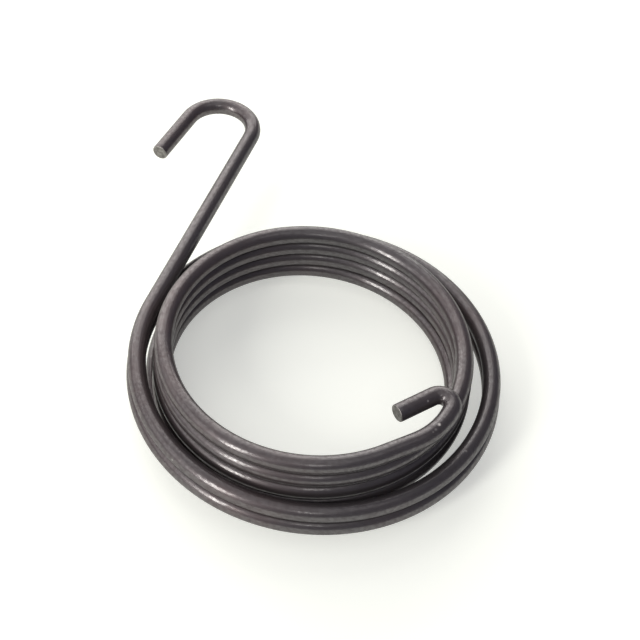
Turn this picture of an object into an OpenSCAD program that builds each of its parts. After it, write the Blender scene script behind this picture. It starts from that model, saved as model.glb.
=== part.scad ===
// Kickstart spring: one round steel wire wound as a two-layer torsion spring.
// The coil axis is Z and the floor is z = 0. The wire starts at the open hook,
// runs along a straight leg, makes the wide outer turns downwards, dives under
// and inwards on the crossing turn, climbs as the inner turns, and ends in a
// short tang that is bent back into the bore.
// Angles are counted along the winding, counter-clockwise seen from above,
// with 0 on +X.

/* [Wire] */
// Diameter of the round wire
wire_d = 3.0; // [2.0:0.1:3.6]
// Clear gap between neighbouring turns
turn_gap = 0.06; // [0.04:0.02:0.6]
// Edge break at the two cut ends
end_chamfer = 0.2; // [0.1:0.05:0.4]

/* [Inner turns] */
// Mean radius of the inner turns, at the full width near their bottom
inner_r = 25.5; // [20:0.25:34]
// Turns from the lowest point to where the tang's lead leaves the coil
inner_turns = 4.34; // [3.3:0.02:5.4]
// How much tighter the first inner turn starts
inner_tuck = 1.5; // [0.5:0.1:1.9]
// Angle in which the first inner turn opens to its full width
tuck_angle = 240; // [180:10:300]
// How much the radius shrinks with each inner turn
inner_taper = 0.2; // [0:0.05:0.3]

/* [Outer turns] */
// Clear gap between the outer turns and the inner turns
layer_gap = 1.1; // [0.5:0.1:3]
// How far the middle of the outer turns sits off the coil axis
outer_shift = 0.6; // [0:0.1:1]
// Which way the outer turns sit off the coil axis
outer_shift_angle = 54; // [0:1:360]
// How much the radius grows with each outer turn
outer_flare = 0.35; // [0:0.05:0.6]
// Turns from the leg to the lowest point of the winding
outer_turns = 2.036; // [1.6:0.004:3.1]

/* [Crossing turn] */
// Angle of the lowest point, where the winding turns from falling to rising
low_angle = 178; // [150:1:200]
// Angle on each side of the lowest point in which the wire moves inwards
crossing_angle = 94; // [80:1:120]
// Extra drop of the outer wire before it passes under the inner turns
dive = 1.6; // [1.4:0.1:2.4]
// Angle before the lowest point in which the extra drop is made
dive_angle = 180; // [160:5:210]
// Angle on each side of the lowest point in which the fall eases into the rise
ease_angle = 36; // [20:2:40]

/* [Leg and hook] */
// Straight length of the leg, from the outer turn to the hook
leg_l = 44.8; // [30:0.1:60]
// Inside radius of the open hook
hook_inside_r = 5; // [3.5:0.25:7]
// How far the hook is bent round
hook_bend = 173.8; // [150:0.2:180]
// Straight length after the hook, up to the cut end
hook_end_l = 11.4; // [6:0.2:14]

/* [Tang] */
// Straight lead from the top turn to the tang
tang_lead_l = 5.05; // [3:0.05:8]
// Mean radius of the easy sweep before the tight bend
sweep_r = 13.1; // [8:0.1:18]
// How far the easy sweep turns
sweep_bend = 38.9; // [30:0.1:60]
// Inside radius of the tight bend
tang_inside_r = 0.5; // [0.5:0.05:1.5]
// How far the tight bend turns
tang_bend = 146.5; // [110:0.5:150]
// Straight length of the tang, up to its cut end
tang_l = 6.9; // [5:0.1:12]

/* [Hidden] */

blackened_steel = [0.27, 0.25, 0.25];

wire_r = wire_d / 2;
pitch = wire_d + turn_gap;
outer_r = inner_r + wire_d + layer_gap;
hook_r = hook_inside_r + wire_r;
tang_r = tang_inside_r + wire_r;

// Angles along the whole winding
low = low_angle + 720;
coil_start = low - outer_turns * 360;
coil_end = low + inner_turns * 360;
crossing_start = low - crossing_angle;
crossing_end = low + crossing_angle;

// Mesh of the swept wire: a ring of corners every few degrees of bend
wire_sides = 12;
turn_step = 6;
hook_steps = 16;
sweep_steps = 6;
tang_steps = 14;
end_sides = 48;
// The faceted sweep stays this far inside the round surface of the cut ends
sweep_inset = 0.004;
// Length over which sweep and round end share the same metal
end_overlap = 1;

// ---- The winding as functions of the angle -------------------------------

// 0 before 0, 1 after 1, with a soft start and a soft end
function blend(t) =
    let (u = min(max(t, 0), 1)) u * u * u * (u * (6 * u - 15) + 10);

// |a| with its point rounded off within the ease angle
function eased_rise(a) =
    abs(a) < ease_angle ? a * a / (2 * ease_angle) : abs(a) - ease_angle / 2;

// 0 on the outer turns, 1 on the inner turns
function crossing(a) =
    blend((a - crossing_start) / (crossing_end - crossing_start));

function flare(a) = outer_flare * (a - coil_start) / 360;
function tuck(a) = inner_tuck * (1 - blend((a - crossing_end) / tuck_angle));
function taper(a) = inner_taper * max(a - crossing_end, 0) / 360;

// The outer radius, blended into the inner radius over the crossing
function coil_r(a) =
    (outer_r + flare(a)) * (1 - crossing(a))
    + (inner_r - tuck(a)) * crossing(a) - taper(a);

function coil_z(a) =
    wire_r + pitch / 360 * eased_rise(a - low)
    + dive * (1 - blend((a - (low - dive_angle)) / dive_angle));

function coil_shift(a) = outer_shift * (1 - crossing(a));

function coil_point(a) = [
    coil_r(a) * cos(a) + coil_shift(a) * cos(outer_shift_angle),
    coil_r(a) * sin(a) + coil_shift(a) * sin(outer_shift_angle),
    coil_z(a)
];

// ---- Directions ----------------------------------------------------------

UP = [0, 0, 1];
function unit(v) = v / norm(v);
function last(list) = list[len(list) - 1];
function coil_heading(a) = unit(coil_point(a + 0.5) - coil_point(a - 0.5));

// Left-hand side of a heading, level with the floor
function left_of(heading) = unit(cross(UP, heading));

// A round bend: starts at a point with a heading and turns left by `angle`
function bend_points(start, heading, radius, angle, steps) =
    let (left = left_of(heading))
    [for (i = [1 : steps])
        let (a = angle * i / steps)
        start + radius * (sin(a) * heading + (1 - cos(a)) * left)];

function turned(heading, angle) =
    cos(angle) * heading + sin(angle) * left_of(heading);

// ---- The leg and the hook, walked backwards from the coil ----------------

leg_heading = -coil_heading(coil_start);
leg_end = coil_point(coil_start) + leg_l * leg_heading;
hook_points = bend_points(leg_end, leg_heading, hook_r, hook_bend, hook_steps);
hook_end_heading = turned(leg_heading, hook_bend);

// ---- The tang, walked forwards from the coil -----------------------------

lead_heading = coil_heading(coil_end);
lead_end = coil_point(coil_end) + tang_lead_l * lead_heading;
sweep_points =
    bend_points(lead_end, lead_heading, sweep_r, sweep_bend, sweep_steps);
sweep_heading = turned(lead_heading, sweep_bend);
tang_points =
    bend_points(last(sweep_points), sweep_heading, tang_r, tang_bend, tang_steps);
tang_heading = turned(sweep_heading, tang_bend);

// ---- The whole centre line, from the hook's end to the tang's end --------

function reversed(list) = [for (i = [len(list) - 1 : -1 : 0]) list[i]];

coil_steps = round((coil_end - coil_start) / turn_step);
coil_points = [for (i = [0 : coil_steps])
    coil_point(coil_start + (coil_end - coil_start) * i / coil_steps)];

route = concat(
    [last(hook_points) + end_overlap * hook_end_heading],
    reversed(hook_points),
    [leg_end],
    coil_points,
    [lead_end],
    sweep_points,
    tang_points,
    [last(tang_points) + end_overlap * tang_heading]
);

// ---- Sweeping a round section along a route ------------------------------

function route_heading(points, i) =
    unit(points[min(i + 1, len(points) - 1)] - points[max(i - 1, 0)]);

function ring(centre, heading, radius) =
    let (side = left_of(heading), top = cross(heading, side))
    [for (k = [0 : wire_sides - 1])
        let (a = 360 * k / wire_sides)
        centre + radius * (cos(a) * side + sin(a) * top)];

module swept_wire(points, radius) {
    count = len(points);
    corners = [for (i = [0 : count - 1])
        each ring(points[i], route_heading(points, i), radius)];
    walls = [for (i = [0 : count - 2], k = [0 : wire_sides - 1])
        let (
            next = (k + 1) % wire_sides,
            a = i * wire_sides + k,
            b = i * wire_sides + next,
            c = (i + 1) * wire_sides + next,
            d = (i + 1) * wire_sides + k
        )
        each [[a, c, b], [a, d, c]]];
    start_cap = [for (k = [0 : wire_sides - 1]) k];
    end_cap = [for (k = [wire_sides - 1 : -1 : 0]) (count - 1) * wire_sides + k];
    polyhedron(points = corners, faces = concat(walls, [start_cap, end_cap]));
}

// A true round wire end of a given length, with its sharp edge broken
module cut_end(start, heading, length) {
    tilt = acos(heading[2]);
    swing = atan2(heading[1], heading[0]);
    translate(start) rotate([0, tilt, swing])
        rotate_extrude($fn = end_sides)
            polygon([
                [0, 0],
                [wire_r, 0],
                [wire_r, length - end_chamfer],
                [wire_r - end_chamfer, length],
                [0, length]
            ]);
}

module spring_wire() {
    color(blackened_steel) {
        swept_wire(route, wire_r - sweep_inset);
        cut_end(last(hook_points), hook_end_heading, hook_end_l);
        cut_end(last(tang_points), tang_heading, tang_l);
    }
}

spring_wire();
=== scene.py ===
# %% [markdown]
# # Kickstart spring
# A kickstart spring turns the kick lever back after each kick. It is one length of hard round
# wire, wound round a mandrel, with both ends bent to catch something, and then blackened. So
# nearly all of this lesson is one path, one round section carried along it, and one finish. The
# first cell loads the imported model. All places and sizes that follow are in metres, in its frame.

import math

import bpy
import numpy as np
from mathutils import Matrix


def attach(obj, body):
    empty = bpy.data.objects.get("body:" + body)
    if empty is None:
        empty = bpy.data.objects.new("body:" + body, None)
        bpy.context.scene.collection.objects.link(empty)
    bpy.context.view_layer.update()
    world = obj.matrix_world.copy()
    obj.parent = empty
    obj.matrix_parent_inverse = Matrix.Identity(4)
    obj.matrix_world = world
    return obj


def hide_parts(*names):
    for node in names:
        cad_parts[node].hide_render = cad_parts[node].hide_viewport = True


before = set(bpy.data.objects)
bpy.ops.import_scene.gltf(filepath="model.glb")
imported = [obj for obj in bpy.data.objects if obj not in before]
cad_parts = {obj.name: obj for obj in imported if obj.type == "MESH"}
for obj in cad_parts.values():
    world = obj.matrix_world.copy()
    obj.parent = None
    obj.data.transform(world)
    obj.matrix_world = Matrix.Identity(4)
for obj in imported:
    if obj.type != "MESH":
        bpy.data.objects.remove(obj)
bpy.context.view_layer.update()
print("packed nodes:", sorted(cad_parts))

# %% [markdown]
# ## Scene and camera
# A small turned or wound part is usually shown lying on a table, seen from above at about fifty
# degrees. A long lens keeps the coils from bulging. The camera stands in front of the part and is
# turned a few degrees about its own line of sight. Its place is built from a few readable values,
# each in its own line, so that one can be changed without working out a matrix again.

# %% Camera
MM = 0.001
CAMERA_BACK = 130.39 * MM
CAMERA_HEIGHT = 174.05 * MM
CAMERA_PITCH = math.radians(49.92)
CAMERA_YAW = math.radians(0.164)
CAMERA_ROLL = math.radians(6.19)
CAMERA_LENS = 70.91
SENSOR_WIDTH = 36.0
NEAREST_SEEN = 0.01

scene = bpy.context.scene
scene.view_settings.view_transform = "Standard"

camera_data = bpy.data.cameras.new("camera")
camera_data.lens = CAMERA_LENS
camera_data.sensor_width = SENSOR_WIDTH
camera_data.clip_start = NEAREST_SEEN
camera = bpy.data.objects.new("camera", camera_data)
scene.collection.objects.link(camera)
camera.matrix_world = (
    Matrix.Translation((0.0, -CAMERA_BACK, CAMERA_HEIGHT))
    @ Matrix.Rotation(-CAMERA_YAW, 4, "Z")
    @ Matrix.Rotation(math.pi / 2 - CAMERA_PITCH, 4, "X")
    @ Matrix.Rotation(CAMERA_ROLL, 4, "Z")
)
scene.camera = camera
print("camera distance:", round(math.hypot(CAMERA_BACK, CAMERA_HEIGHT), 3), "m")

# %% [markdown]
# ## The winding as a function of one angle
# A spring like this could be drawn with Blender's Screw modifier, but that keeps one radius and
# one direction. A curve with a round bevel could follow any route, but each point would have to be
# placed by hand. Here the centre line is a formula instead: one angle, counted along the wire,
# gives a radius and a height. The outer turns fall towards the table, the crossing turn moves in
# under the others, and the inner turns climb again.

# %% Driving sizes of the winding
WIRE_R = 1.5 * MM
PITCH = 3.06 * MM
INNER_R = 25.5 * MM
OUTER_R = 29.6 * MM
OUTER_SHIFT = 0.6 * MM
OUTER_FLARE = 0.35 * MM
INNER_TUCK = 1.5 * MM
INNER_TAPER = 0.2 * MM
DIVE = 1.6 * MM

# where the winding changes: turns, and degrees counted along the wire from its lowest point
LOW_ANGLE = 898.0
OUTER_TURNS = 2.036
INNER_TURNS = 4.34
CROSSING_ANGLE = 94.0
DIVE_ANGLE = 180.0
EASE_ANGLE = 36.0
TUCK_ANGLE = 240.0

# the direction from the axis in which the outer turns lie off it
SHIFT_ANGLE = 54.0

COIL_START = LOW_ANGLE - 360.0 * OUTER_TURNS
COIL_END = LOW_ANGLE + 360.0 * INNER_TURNS
CROSSING_START = LOW_ANGLE - CROSSING_ANGLE
CROSSING_END = LOW_ANGLE + CROSSING_ANGLE


def blend(t):
    """0 before 0 and 1 after 1. Between them 6t^5 - 15t^4 + 10t^3, which starts and ends softly."""
    t = np.clip(t, 0.0, 1.0)
    return t * t * t * (t * (6.0 * t - 15.0) + 10.0)


def eased_rise(angle):
    """|angle|, with its point rounded off: angle squared over twice the ease angle near zero."""
    away = np.abs(angle)
    return np.where(away < EASE_ANGLE, away * away / (2 * EASE_ANGLE), away - EASE_ANGLE / 2)


def coil_points(angle):
    """Centre line at an array of angles in degrees.

    Radius: the outer radius with its flare, blended over the crossing into the inner radius with
    its tuck, less the taper. Height: wire radius + pitch for each turn away from the lowest
    point + the dive that ends there.
    """
    inward = blend((angle - CROSSING_START) / (CROSSING_END - CROSSING_START))
    outer = OUTER_R + OUTER_FLARE * (angle - COIL_START) / 360.0
    inner = INNER_R - INNER_TUCK * (1.0 - blend((angle - CROSSING_END) / TUCK_ANGLE))
    taper = INNER_TAPER * np.maximum(angle - CROSSING_END, 0.0) / 360.0
    radius = outer * (1.0 - inward) + inner * inward - taper
    shift = OUTER_SHIFT * (1.0 - inward)
    dive = DIVE * (1.0 - blend((angle - (LOW_ANGLE - DIVE_ANGLE)) / DIVE_ANGLE))
    turn = np.radians(angle)
    return np.stack(
        [
            radius * np.cos(turn) + shift * math.cos(math.radians(SHIFT_ANGLE)),
            radius * np.sin(turn) + shift * math.sin(math.radians(SHIFT_ANGLE)),
            WIRE_R + PITCH / 360.0 * eased_rise(angle - LOW_ANGLE) + dive,
        ],
        axis=-1,
    )


def unit(vector):
    """The vector divided by its length, along the last axis."""
    return vector / np.linalg.norm(vector, axis=-1, keepdims=True)


def coil_heading(angle):
    """Unit vector along the winding at one angle: from half a degree before to half after."""
    before, after = coil_points(np.array([angle - 0.5, angle + 0.5]))
    return unit(after - before)


print("winding from", round(COIL_START, 1), "to", round(COIL_END, 1), "degrees")

# %% [markdown]
# ## The formed ends
# The leg, the hook and the tang are bent over pins in a tool. Each bend is a piece of a circle,
# and each straight is a line, so the path is put together from those two. The hook is walked
# backwards from the start of the winding, and the tang is walked forwards from its end.

# %% Straights and bends
LEG_L = 44.8 * MM
HOOK_R = 5.0 * MM + WIRE_R
HOOK_BEND = 173.8
HOOK_END_L = 11.4 * MM

TANG_LEAD_L = 5.05 * MM
SWEEP_R = 13.1 * MM
SWEEP_BEND = 38.9
TANG_R = 0.5 * MM + WIRE_R
TANG_BEND = 146.5
TANG_L = 6.9 * MM

UP = np.array([0.0, 0.0, 1.0])


def left_of(heading):
    """Unit vector to the left of a heading, level with the table: up crossed with the heading."""
    return unit(np.cross(UP, heading))


def straight(start, heading, length, count):
    """Points along a line, without its first one: start + heading * distance."""
    distance = np.linspace(0.0, length, count + 1)[1:, None]
    return start + distance * heading


def bend(start, heading, radius, degrees, count):
    """Points round a left-hand bend, without its first one, and the heading at its end.

    Point: start + radius * (sin a * heading + (1 - cos a) * left), as a goes to the full bend.
    """
    left = left_of(heading)
    a = np.radians(degrees) * np.linspace(0.0, 1.0, count + 1)[1:, None]
    points = start + radius * (np.sin(a) * heading + (1.0 - np.cos(a)) * left)
    end = math.radians(degrees)
    return points, math.cos(end) * heading + math.sin(end) * left


print("bends:", HOOK_BEND, "at the hook,", SWEEP_BEND, "and", TANG_BEND, "degrees at the tang")

# %% [markdown]
# ## One centre line
# The parts of the route are laid end to end: hook, leg, winding, lead, sweep, tight bend and tang.
# A straight or bend leaves out its first point, because the part before it already ends there.
# Each part has its own number of points, so that bends get many and straights only a few. The
# distance along the wire is added up on the way, because the finish is placed by it.

# %% The whole centre line
COIL_STEP = 1.3
LEG_POINTS, HOOK_POINTS, HOOK_END_POINTS = 40, 60, 10
LEAD_POINTS, SWEEP_POINTS, TIGHT_POINTS, TANG_POINTS = 6, 20, 40, 8

coil_angles = np.linspace(COIL_START, COIL_END, int((COIL_END - COIL_START) / COIL_STEP) + 1)
coil = coil_points(coil_angles)

leg_heading = -coil_heading(COIL_START)
leg = straight(coil[0], leg_heading, LEG_L, LEG_POINTS)
hook, hook_heading = bend(leg[-1], leg_heading, HOOK_R, HOOK_BEND, HOOK_POINTS)
hook_end = straight(hook[-1], hook_heading, HOOK_END_L, HOOK_END_POINTS)

lead_heading = coil_heading(COIL_END)
lead = straight(coil[-1], lead_heading, TANG_LEAD_L, LEAD_POINTS)
sweep, sweep_heading = bend(lead[-1], lead_heading, SWEEP_R, SWEEP_BEND, SWEEP_POINTS)
tight, tang_heading = bend(sweep[-1], sweep_heading, TANG_R, TANG_BEND, TIGHT_POINTS)
tang = straight(tight[-1], tang_heading, TANG_L, TANG_POINTS)

hook_side = np.concatenate([leg, hook, hook_end])[::-1]
path = np.concatenate([hook_side, coil, lead, sweep, tight, tang])
steps = np.linalg.norm(np.diff(path, axis=0), axis=1)
along = np.concatenate([[0.0], np.cumsum(steps)])
print("wire length:", round(along[-1], 4), "m in", len(path), "rings")

# %% [markdown]
# ## A round section carried along the path
# At each point of the path the section stands square to the wire. Two directions hold it: one to
# the side, level with the table, and one square to both. The path never stands upright, so the
# level direction always exists and the section never twists. The two ends are closed with rings
# that get smaller: first a worn edge, then the flat face that the shears left.

# %% Sweep the wire
SIDES = 40
EDGE_BREAK = 0.22 * MM
EDGE_RINGS = 4
FACE_RINGS = 6
FACE_CENTRE_R = 0.02 * WIRE_R
END_CAPS = 2


def section_frames(points):
    """Three unit vectors at each point, square to each other.

    Heading: from the point before to the point after. Side: left of the heading. Top: heading
    crossed with side.
    """
    heading = np.empty_like(points)
    heading[1:-1] = points[2:] - points[:-2]
    heading[0] = points[1] - points[0]
    heading[-1] = points[-1] - points[-2]
    heading = unit(heading)
    side = left_of(heading)
    return heading, side, np.cross(heading, side)


def end_profile():
    """How far each closing ring stands out along the wire, and its radius.

    The worn edge is a quarter circle: out = break * (sin q - 1), and radius = wire radius -
    break * (1 - cos q). The flat face is a row of rings that get smaller in equal steps.
    """
    quarter = np.linspace(0.0, math.pi / 2, EDGE_RINGS + 1)[1:]
    out = EDGE_BREAK * (np.sin(quarter) - 1.0)
    radius = WIRE_R - EDGE_BREAK * (1.0 - np.cos(quarter))
    face = np.linspace(WIRE_R - EDGE_BREAK, FACE_CENTRE_R, FACE_RINGS + 1)[1:]
    return np.concatenate([out, np.zeros(FACE_RINGS)]), np.concatenate([radius, face])


def tube(points, distances):
    """Rings of corners round each point, closed at both ends.

    Corner: point + radius * (cos a * side + sin a * top). Returns the rings as an array of
    rings by sides by 3, how far along the wire each ring is, and its radius. A closing ring has
    the distance and the directions of the end point.
    """
    heading, side, top = section_frames(points)
    out, closing = end_profile()
    body = points.copy()
    body[0] += EDGE_BREAK * heading[0]
    body[-1] -= EDGE_BREAK * heading[-1]
    first = points[0] - out[::-1, None] * heading[0]
    final = points[-1] + out[:, None] * heading[-1]
    centres = np.concatenate([first, body, final])
    radii = np.concatenate([closing[::-1], np.full(len(points), WIRE_R), closing])
    nearest = np.pad(np.arange(len(points)), len(out), mode="edge")
    a = np.linspace(0.0, 2 * math.pi, SIDES, endpoint=False)[None, :, None]
    spoke = np.cos(a) * side[nearest][:, None] + np.sin(a) * top[nearest][:, None]
    return centres[:, None] + radii[:, None, None] * spoke, distances[nearest], radii


def tube_faces(ring_count):
    """Quads between neighbouring rings, wound so that they face outwards, and the two end caps."""
    ring = np.arange(ring_count - 1)[:, None] * SIDES
    k = np.arange(SIDES)[None, :]
    after = (k + 1) % SIDES
    quads = np.stack([ring + k, ring + after, ring + SIDES + after, ring + SIDES + k], axis=-1)
    first_cap = list(range(SIDES - 1, -1, -1))
    final_cap = list(range((ring_count - 1) * SIDES, ring_count * SIDES))
    return quads.reshape(-1, 4).tolist() + [first_cap, final_cap]


rings, ring_along, ring_radii = tube(path, along)
faces = tube_faces(len(rings))
wire_mesh = bpy.data.meshes.new("wire")
wire_mesh.from_pydata(rings.reshape(-1, 3).tolist(), [], faces)
wire_mesh.update()
wire_mesh.shade_smooth()
wire = bpy.data.objects.new("wire", wire_mesh)
scene.collection.objects.link(wire)
print("wire:", len(wire_mesh.vertices), "corners,", len(faces), "faces")

# %% [markdown]
# ## A place on the wire
# Drawing scores and tool marks follow a wire, not a world axis. So each corner keeps its place on
# the wire: how far along it is, and where it is round the section. A UV map could hold this, but
# it has a seam where the section closes. A vector attribute has none, because its second and third
# numbers are the corner's own two distances from the wire's middle.

# %% Keep the place on the wire
spoke_angle = np.linspace(0.0, 2 * math.pi, SIDES, endpoint=False)[None, :]
place = np.empty((len(rings), SIDES, 3))
place[..., 0] = ring_along[:, None]
place[..., 1] = ring_radii[:, None] * np.cos(spoke_angle)
place[..., 2] = ring_radii[:, None] * np.sin(spoke_angle)
wire_place = wire_mesh.attributes.new("wire_place", "FLOAT_VECTOR", "POINT")
wire_place.data.foreach_set("vector", place.astype(np.float32).ravel())
WIRE_LENGTH = float(along[-1])
print("place on the wire: 0 to", round(WIRE_LENGTH, 4), "m")

# %% [markdown]
# ## Helpers for shader nodes
# A material is a small graph of nodes. An effect that both finishes share is built once as a node
# group with named inputs, and is then placed in each material with that finish's own values. The
# helpers below keep the graphs short: they add a node, open a group, place a group, and put two
# values or two colours together.

# %% Node helpers
# A Mix node has sockets for numbers, vectors and colours. These are the places of the colour ones.
MIX_AMOUNT, MIX_FIRST, MIX_SECOND, MIX_RESULT = 0, 6, 7, 2


def add(tree, kind, values=None, **settings):
    """A new node. Settings such as operation go by name, and socket values by socket name."""
    node = tree.nodes.new(kind)
    for name, value in settings.items():
        setattr(node, name, value)
    for name, value in (values or {}).items():
        node.inputs[name].default_value = value
    return node


def feed(tree, socket, source):
    """Put a number or colour on a socket, or link another node's output to it."""
    if isinstance(source, bpy.types.NodeSocket):
        tree.links.new(source, socket)
    else:
        socket.default_value = source


def open_group(name, inputs, output):
    """A node group with the named inputs (name: kind) and one output, and its two end nodes."""
    tree = bpy.data.node_groups.new(name, "ShaderNodeTree")
    for socket_name, kind in inputs.items():
        tree.interface.new_socket(name=socket_name, in_out="INPUT", socket_type=kind)
    tree.interface.new_socket(name=output, in_out="OUTPUT", socket_type="NodeSocketFloat")
    return tree, tree.nodes.new("NodeGroupInput").outputs, tree.nodes.new("NodeGroupOutput").inputs


def use_group(tree, group, *sources):
    """The group placed in a material, with its inputs fed in order."""
    node = add(tree, "ShaderNodeGroup", node_tree=group)
    for socket, source in zip(node.inputs, sources):
        feed(tree, socket, source)
    return node.outputs[0]


def combine(tree, operation, *sources):
    """One value from two or three, by a Math node."""
    node = add(tree, "ShaderNodeMath", operation=operation)
    for socket, source in zip(node.inputs, sources):
        feed(tree, socket, source)
    return node.outputs["Value"]


def mix_colours(tree, amount, first, second):
    """The first colour where amount is 0, the second where it is 1."""
    node = add(tree, "ShaderNodeMix", data_type="RGBA")
    feed(tree, node.inputs[MIX_AMOUNT], amount)
    feed(tree, node.inputs[MIX_FIRST], first)
    feed(tree, node.inputs[MIX_SECOND], second)
    return node.outputs[MIX_RESULT]


print("helpers:", [f.__name__ for f in (add, feed, open_group, use_group, combine, mix_colours)])

# %% [markdown]
# ## Oxide cloud
# Steel is blackened in a hot bath or by tempering in oil. The black film is a few thousandths of a
# millimetre thick and never even: some patches are browner, some greyer, and some duller. A noise
# with a soft step makes such patches. One group serves wide, small and tiny ones, because the
# number of patches per metre is one of its inputs.

# %% Oxide cloud group
oxide_cloud, given, result = open_group(
    "oxide_cloud", {"Point": "NodeSocketVector", "Per metre": "NodeSocketFloat"}, "Cloud"
)
noise = add(oxide_cloud, "ShaderNodeTexNoise", {"Detail": 3.0, "Roughness": 0.55})
step = add(oxide_cloud, "ShaderNodeMapRange", {"From Min": 0.34, "From Max": 0.66})
step.interpolation_type = "SMOOTHSTEP"
oxide_cloud.links.new(given["Point"], noise.inputs["Vector"])
oxide_cloud.links.new(given["Per metre"], noise.inputs["Scale"])
oxide_cloud.links.new(noise.outputs["Fac"], step.inputs["Value"])
oxide_cloud.links.new(step.outputs["Result"], result["Cloud"])
print("group:", oxide_cloud.name)

# %% [markdown]
# ## Scores
# Spring wire is pulled cold through a die, which leaves fine scores along it that the black film
# doesn't hide. The shears leave scores across the cut ends. Both are a noise that is stretched far
# in one direction, so one group serves both, with the stretch as its input.

# %% Scores group
scores, given, result = open_group(
    "scores", {"Place": "NodeSocketVector", "Stretch": "NodeSocketVector"}, "Score"
)
stretched = add(scores, "ShaderNodeVectorMath", operation="MULTIPLY")
noise = add(scores, "ShaderNodeTexNoise", {"Scale": 1.0, "Detail": 2.0, "Roughness": 0.65})
step = add(scores, "ShaderNodeMapRange", {"From Min": 0.3, "From Max": 0.7})
scores.links.new(given["Place"], stretched.inputs[0])
scores.links.new(given["Stretch"], stretched.inputs[1])
scores.links.new(stretched.outputs["Vector"], noise.inputs["Vector"])
scores.links.new(noise.outputs["Fac"], step.inputs["Value"])
scores.links.new(step.outputs["Result"], result["Score"])
print("group:", scores.name)

# %% [markdown]
# ## Nicks
# Springs are tipped into bins, and where two touch, a speck of brighter steel shows. The points of
# a Voronoi texture are scattered without a pattern, so a small ball round each one is a speck.
# More than half of them are left out by their own random colour, because a good spring has few.

# %% Nicks group
LEFT_OUT = 0.55

nicks, given, result = open_group(
    "nicks",
    {"Point": "NodeSocketVector", "Per metre": "NodeSocketFloat", "Size": "NodeSocketFloat"},
    "Nick",
)
cells = add(nicks, "ShaderNodeTexVoronoi", {"Randomness": 1.0})
near = add(nicks, "ShaderNodeMapRange", {"To Min": 1.0, "To Max": 0.0})
near.interpolation_type = "SMOOTHSTEP"
lot = add(nicks, "ShaderNodeSeparateColor")
nicks.links.new(given["Point"], cells.inputs["Vector"])
nicks.links.new(given["Per metre"], cells.inputs["Scale"])
nicks.links.new(cells.outputs["Distance"], near.inputs["Value"])
nicks.links.new(given["Size"], near.inputs["From Max"])
nicks.links.new(cells.outputs["Color"], lot.inputs["Color"])
kept = combine(nicks, "GREATER_THAN", lot.outputs["Red"], LEFT_OUT)
nicks.links.new(combine(nicks, "MULTIPLY", near.outputs["Result"], kept), result["Nick"])
print("group:", nicks.name)

# %% [markdown]
# ## Tool marks
# The pins that form the hook and the tang, and the rollers that feed the wire, press small bright
# marks into it at set places. Such a mark is placed by measure: how far along the wire, and at
# what angle round it. Its mask is one at the centre and falls to zero at its edge, and it stays
# round, because a place on the wire is in true metres in every direction. Each mark has a
# brightness of its own: the hard ones are polished bare, and the light ones hardly show. The
# brightest one, on the sweep before the tang, is partly a pressed dent and partly a painted
# highlight: a light bare colour put where the light glints on that sweep.

# %% Tool mark group
tool_mark, given, result = open_group(
    "tool_mark",
    {"Place": "NodeSocketVector", "Centre": "NodeSocketVector", "Size": "NodeSocketFloat"},
    "Mark",
)
away = add(tool_mark, "ShaderNodeVectorMath", operation="DISTANCE")
near = add(tool_mark, "ShaderNodeMapRange", {"To Min": 1.0, "To Max": 0.0})
near.interpolation_type = "SMOOTHSTEP"
tool_mark.links.new(given["Place"], away.inputs[0])
tool_mark.links.new(given["Centre"], away.inputs[1])
tool_mark.links.new(away.outputs["Value"], near.inputs["Value"])
tool_mark.links.new(given["Size"], near.inputs["From Max"])
tool_mark.links.new(near.outputs["Result"], result["Mark"])

TOOL_MARKS_AND_GLINT = [
    # distance along the wire, angle round it, radius, how bright
    # the first is partly a pressed dent and partly a painted highlight, where light glints on the
    # sweep
    (WIRE_LENGTH - 16.5 * MM, 96.0, 0.42 * MM, 1.0),
    (WIRE_LENGTH - 17.5 * MM, 108.0, 0.36 * MM, 0.25),
    (WIRE_LENGTH - 18.1 * MM, 112.0, 0.24 * MM, 0.22),
    (WIRE_LENGTH - 5.1 * MM, 50.0, 0.28 * MM, 0.5),
    (160.1 * MM, 96.0, 0.3 * MM, 0.35),
    (108.9 * MM, 162.0, 0.28 * MM, 0.35),
]


def mark_centre(distance, degrees):
    """Centre of a mark as a place on the wire: distance along, radius * cos, radius * sin."""
    turn = math.radians(degrees)
    return distance, WIRE_R * math.cos(turn), WIRE_R * math.sin(turn)


print("tool marks:", len(TOOL_MARKS_AND_GLINT))

# %% [markdown]
# ## Blackened spring steel
# The film is dark iron oxide on steel. It reflects less than a tenth of the light, and a little
# more red than green. Part of that light is scattered evenly, as by a fine powder, and part is
# thrown back as by rough metal, so the Principled shader is a little over half metallic. Its
# specular tint is lowered, or the edges of the wire would turn white.
#
# Where the oxide is smooth, with a trace of oil on it, it shines as a clear coat does. The coat
# has the high index of iron oxide, and its weight changes in tiny beads, so that the long streaks
# look speckled. The roughness changes from patch to patch, and the scores and a fine grain tilt
# the surface. Nicks and tool marks are brighter, and dented. At the brightest tool mark, the
# bright colour is also a painted highlight where light glints on the sweep before the tang.

# %% Blackened steel
BROWN_FILM = (0.097, 0.0755, 0.077, 1.0)
GREY_FILM = (0.081, 0.073, 0.076, 1.0)
DULL_FILM = (0.064, 0.0575, 0.063, 1.0)
# bright bare steel at nicks and tool marks, and a painted highlight at the brightest tool mark
WORN_AND_GLINT_FILM = (0.72, 0.69, 0.66, 1.0)
FILM_METALLIC = 0.6
EDGE_TINT = (0.4, 0.4, 0.4, 1.0)
COAT_ROUGHNESS = 0.22
OXIDE_INDEX = 2.4

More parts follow.
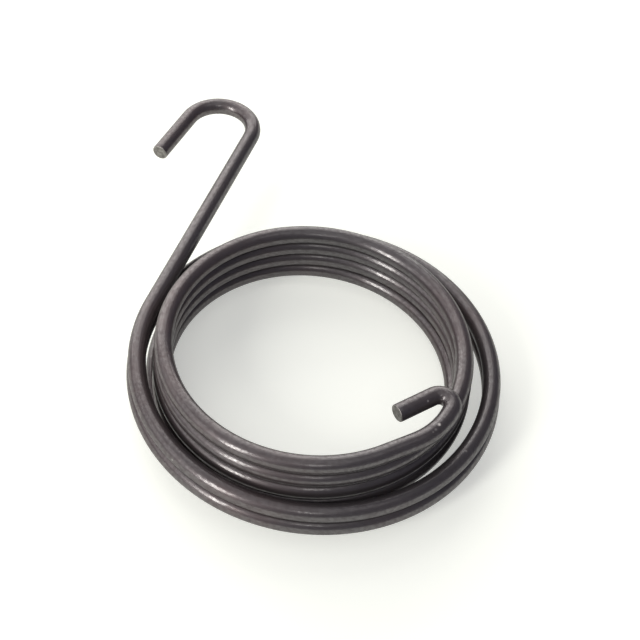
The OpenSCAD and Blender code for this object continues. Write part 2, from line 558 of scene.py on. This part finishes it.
PATCHES_PER_M, BLOTCHES_PER_M, GRAINS_PER_M, BEADS_PER_M = 30.0, 420.0, 5200.0, 1900.0
SCORE_STRETCH = (35.0, 3000.0, 3000.0)
NICKS_PER_M, NICK_SIZE, NICK_BRIGHTNESS = 240.0, 0.03, 0.3
DULLING = 0.3

# the value where every mask is zero comes first, and then what each full mask adds to it
FILM_ROUGHNESS, BLOTCH_ROUGHNESS, SCORE_ROUGHNESS = 0.40, 0.05, 0.03
COAT_LEAST, COAT_BEADS = 0.18, 0.28

# heights are multiples of the relief, and a dent is below zero
FILM_RELIEF = 0.004 * MM
GRAIN_HEIGHT, SCORE_HEIGHT, MARK_HEIGHT = 0.08, 0.35, -20.0

blackened = bpy.data.materials.new("blackened_steel")
blackened.use_nodes = True
tree = blackened.node_tree
shader = tree.nodes["Principled BSDF"]
shader.inputs["Metallic"].default_value = FILM_METALLIC
shader.inputs["Specular Tint"].default_value = EDGE_TINT
shader.inputs["Coat Roughness"].default_value = COAT_ROUGHNESS
shader.inputs["Coat IOR"].default_value = OXIDE_INDEX

here = add(tree, "ShaderNodeTexCoord").outputs["Object"]
on_wire = add(tree, "ShaderNodeAttribute", attribute_name="wire_place").outputs["Vector"]
patch = use_group(tree, oxide_cloud, here, PATCHES_PER_M)
blotch = use_group(tree, oxide_cloud, here, BLOTCHES_PER_M)
grain = use_group(tree, oxide_cloud, here, GRAINS_PER_M)
beads = use_group(tree, oxide_cloud, here, BEADS_PER_M)
score = use_group(tree, scores, on_wire, SCORE_STRETCH)
nick = use_group(tree, nicks, here, NICKS_PER_M, NICK_SIZE)
mark = combine(tree, "MULTIPLY", nick, NICK_BRIGHTNESS)
for distance, degrees, size, brightness in TOOL_MARKS_AND_GLINT:
    pressed = use_group(tree, tool_mark, on_wire, mark_centre(distance, degrees), size)
    mark = combine(tree, "MAXIMUM", mark, combine(tree, "MULTIPLY", pressed, brightness))

film = mix_colours(tree, patch, BROWN_FILM, GREY_FILM)
dulled = mix_colours(tree, combine(tree, "MULTIPLY", blotch, DULLING), film, DULL_FILM)
# nicks and tool marks in bright bare colour; at the brightest tool mark this is a painted highlight
worn = mix_colours(tree, mark, dulled, WORN_AND_GLINT_FILM)
tree.links.new(worn, shader.inputs["Base Color"])

rough = combine(tree, "MULTIPLY_ADD", blotch, BLOTCH_ROUGHNESS, FILM_ROUGHNESS)
rough = combine(tree, "MULTIPLY_ADD", score, SCORE_ROUGHNESS, rough)
tree.links.new(rough, shader.inputs["Roughness"])
coat = combine(tree, "MULTIPLY_ADD", beads, COAT_BEADS, COAT_LEAST)
tree.links.new(coat, shader.inputs["Coat Weight"])

skin = combine(tree, "MULTIPLY", grain, GRAIN_HEIGHT)
skin = combine(tree, "MULTIPLY_ADD", score, SCORE_HEIGHT, skin)
skin = combine(tree, "MULTIPLY_ADD", mark, MARK_HEIGHT, skin)
bump = add(tree, "ShaderNodeBump", {"Strength": 1.0, "Distance": FILM_RELIEF})
tree.links.new(skin, bump.inputs["Height"])
tree.links.new(bump.outputs["Normal"], shader.inputs["Normal"])
wire_mesh.materials.append(blackened)
print("finish:", blackened.name, "with", len(tree.nodes), "nodes")

# %% [markdown]
# ## Cut ends
# The wire is sheared to length before it is blackened, so its ends are greyer and rougher than its
# skin: part burnished by the blade, part torn. The worn edge round them is the brightest place.
# The second material goes by face index on the end rings, and reads the same groups at other
# sizes.

# %% Cut steel
SHEARED = (0.25, 0.24, 0.225, 1.0)
TORN = (0.13, 0.122, 0.115, 1.0)
WORN_EDGE = (0.36, 0.345, 0.33, 1.0)
EDGE_WEAR_FROM, EDGE_WEAR_TO = 1.22 * MM, 1.42 * MM
EDGE_WEAR = 0.6

CUT_BLOTCHES_PER_M, CUT_GRAINS_PER_M = 1500.0, 9000.0
SHEAR_STRETCH = (0.0, 700.0, 9000.0)
CUT_ROUGHNESS, GRAIN_ROUGHNESS = 0.38, 0.15
CUT_RELIEF = 0.012 * MM
SHEAR_HEIGHT, TEAR_HEIGHT = 1.2, 1.5

cut = bpy.data.materials.new("cut_steel")
cut.use_nodes = True
tree = cut.node_tree
shader = tree.nodes["Principled BSDF"]
shader.inputs["Metallic"].default_value = 1.0

here = add(tree, "ShaderNodeTexCoord").outputs["Object"]
on_wire = add(tree, "ShaderNodeAttribute", attribute_name="wire_place").outputs["Vector"]
blotch = use_group(tree, oxide_cloud, here, CUT_BLOTCHES_PER_M)
grain = use_group(tree, oxide_cloud, here, CUT_GRAINS_PER_M)
score = use_group(tree, scores, on_wire, SHEAR_STRETCH)

across = add(tree, "ShaderNodeSeparateXYZ")
tree.links.new(on_wire, across.inputs["Vector"])
out_sq = combine(tree, "MULTIPLY", across.outputs["Y"], across.outputs["Y"])
out_sq = combine(tree, "MULTIPLY_ADD", across.outputs["Z"], across.outputs["Z"], out_sq)
worn_rim = {"From Min": EDGE_WEAR_FROM, "From Max": EDGE_WEAR_TO}
edge = add(tree, "ShaderNodeMapRange", worn_rim)
tree.links.new(combine(tree, "SQRT", out_sq), edge.inputs["Value"])

face = mix_colours(tree, blotch, SHEARED, TORN)
rim = combine(tree, "MULTIPLY", edge.outputs["Result"], EDGE_WEAR)
face = mix_colours(tree, rim, face, WORN_EDGE)
tree.links.new(face, shader.inputs["Base Color"])
rough = combine(tree, "MULTIPLY_ADD", grain, GRAIN_ROUGHNESS, CUT_ROUGHNESS)
tree.links.new(rough, shader.inputs["Roughness"])
skin = combine(tree, "MULTIPLY_ADD", blotch, TEAR_HEIGHT, grain)
skin = combine(tree, "MULTIPLY_ADD", score, SHEAR_HEIGHT, skin)
bump = add(tree, "ShaderNodeBump", {"Strength": 1.0, "Distance": CUT_RELIEF})
tree.links.new(skin, bump.inputs["Height"])
tree.links.new(bump.outputs["Normal"], shader.inputs["Normal"])
wire_mesh.materials.append(cut)

end_faces = (EDGE_RINGS - 1 + FACE_RINGS) * SIDES
finish_index = np.zeros(len(faces), np.int32)
finish_index[:end_faces] = 1
finish_index[-end_faces - END_CAPS :] = 1
wire_mesh.polygons.foreach_set("material_index", finish_index)
print("cut faces:", int(finish_index.sum()), "of", len(faces))

# %% [markdown]
# ## Table
# A part like this is shown on a wide white sheet. A camera that is set for dark steel shows the
# sheet lighter than it is. So the sheet lights the steel from below as plain paint does, and for
# the camera, for mirrors and through glass it gives off some white of its own as well. That white
# grows with the distance from the part, where the lamps no longer reach, so that the sheet fades
# to plain white in a low view. The shadow of the part still falls on it, because the rest is plain
# paint.

# %% Table
TABLE_SIZE = 12.0
TABLE_DROP = 0.01 * MM
SHEET = (0.82, 0.85, 0.785, 1.0)
SHEET_GLOW = 0.40
FAR_GLOW = 0.90
GLOW_FROM, GLOW_TO = 0.25, 1.5
GLOW_COLOUR = (0.99, 1.0, 0.965, 1.0)
SHEET_ROUGHNESS = 0.7
SHEET_GLOSS = 0.2

table_mesh = bpy.data.meshes.new("table")
half = TABLE_SIZE / 2
corners = [
    (-half, -half, -TABLE_DROP),
    (half, -half, -TABLE_DROP),
    (half, half, -TABLE_DROP),
    (-half, half, -TABLE_DROP),
]
table_mesh.from_pydata(corners, [], [(0, 1, 2, 3)])
table = bpy.data.objects.new("table", table_mesh)
scene.collection.objects.link(table)

table_paint = bpy.data.materials.new("white_sheet")
table_paint.use_nodes = True
tree = table_paint.node_tree
shader = tree.nodes["Principled BSDF"]
shader.inputs["Base Color"].default_value = SHEET
shader.inputs["Roughness"].default_value = SHEET_ROUGHNESS
shader.inputs["Specular IOR Level"].default_value = SHEET_GLOSS
shader.inputs["Emission Color"].default_value = GLOW_COLOUR
ray = add(tree, "ShaderNodeLightPath").outputs
seen = combine(tree, "MAXIMUM", ray["Is Camera Ray"], ray["Is Transmission Ray"])
seen = combine(tree, "MAXIMUM", seen, ray["Is Glossy Ray"])
away = add(tree, "ShaderNodeVectorMath", operation="LENGTH")
tree.links.new(add(tree, "ShaderNodeTexCoord").outputs["Object"], away.inputs[0])
glow = add(
    tree,
    "ShaderNodeMapRange",
    {"From Min": GLOW_FROM, "From Max": GLOW_TO, "To Min": SHEET_GLOW, "To Max": FAR_GLOW},
)
tree.links.new(away.outputs["Value"], glow.inputs["Value"])
glow_seen = combine(tree, "MULTIPLY", seen, glow.outputs["Result"])
tree.links.new(glow_seen, shader.inputs["Emission Strength"])
table_mesh.materials.append(table_paint)
print("table:", TABLE_SIZE, "m wide")

# %% [markdown]
# ## Light
# Dark steel shows what stands round it more than what falls on it. So the lamps are soft panels,
# and each one is there for what it draws on the wire. A tall narrow strip in front and to the left
# draws the bright streaks on the turns, and a small panel in front adds a weak one of its own. A
# wide wall behind and a broad panel above it light the backs and tops of the turns. An overhead
# panel lights the table inside the ring, and a wall on the left gives the left turns their even
# grey. Nothing stands on the right, so the right sides and the gaps stay dark. The lamps are a
# little warm, and the dim room that fills the rest is a little cool.

# %% Soft lamps
LAMPS = [
    # name, azimuth from +X, elevation from the table, distance, width, height, watts
    ("strip", 227.0, 28.0, 1.2, 0.22, 0.64, 7.4),
    ("front", 277.0, 49.0, 1.2, 0.15, 0.22, 0.55),
    ("back wall", 108.0, 19.0, 0.7, 1.1, 0.52, 4.4),
    ("back top", 112.0, 49.0, 1.2, 1.0, 0.65, 2.9),
    ("overhead", 228.0, 79.0, 1.2, 1.4, 1.2, 2.7),
    ("left wall", 185.0, 34.0, 1.2, 1.2, 0.8, 3.0),
]
LAMP_COLOUR = (1.0, 0.97, 0.93)
ROOM_LIGHT = (0.98, 0.95, 1.16, 1.0)
ROOM_LEVEL = 0.15

world = bpy.data.worlds.new("room")
world.use_nodes = True
world.node_tree.nodes["Background"].inputs["Color"].default_value = ROOM_LIGHT
world.node_tree.nodes["Background"].inputs["Strength"].default_value = ROOM_LEVEL
scene.world = world


def soft_light(name, azimuth, elevation, distance, size, watts):
    """A lamp that looks at the middle of the part, from (azimuth, elevation) at a distance.

    Place: distance * (cos az cos el, sin az cos el, sin el). Its width is level with the table.
    """
    data = bpy.data.lights.new(name, "AREA")
    data.shape = "RECTANGLE"
    data.size, data.size_y = size
    data.energy = watts
    data.color = LAMP_COLOUR
    az, el = math.radians(azimuth), math.radians(elevation)
    out = np.array([math.cos(az) * math.cos(el), math.sin(az) * math.cos(el), math.sin(el)])
    width = unit(np.cross(UP, out))
    turned = np.eye(4)
    turned[:3, :3] = np.stack([width, np.cross(out, width), out], axis=1)
    turned[:3, 3] = out * distance
    light = bpy.data.objects.new(name, data)
    light.matrix_world = Matrix(turned.tolist())
    scene.collection.objects.link(light)
    return light


for name, azimuth, elevation, distance, width, height, watts in LAMPS:
    soft_light(name, azimuth, elevation, distance, (width, height), watts)
print("lamps:", [lamp[0] for lamp in LAMPS])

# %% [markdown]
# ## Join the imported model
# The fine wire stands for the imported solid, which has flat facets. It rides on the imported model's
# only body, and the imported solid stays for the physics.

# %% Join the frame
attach(wire, "root")
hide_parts("spring_wire")
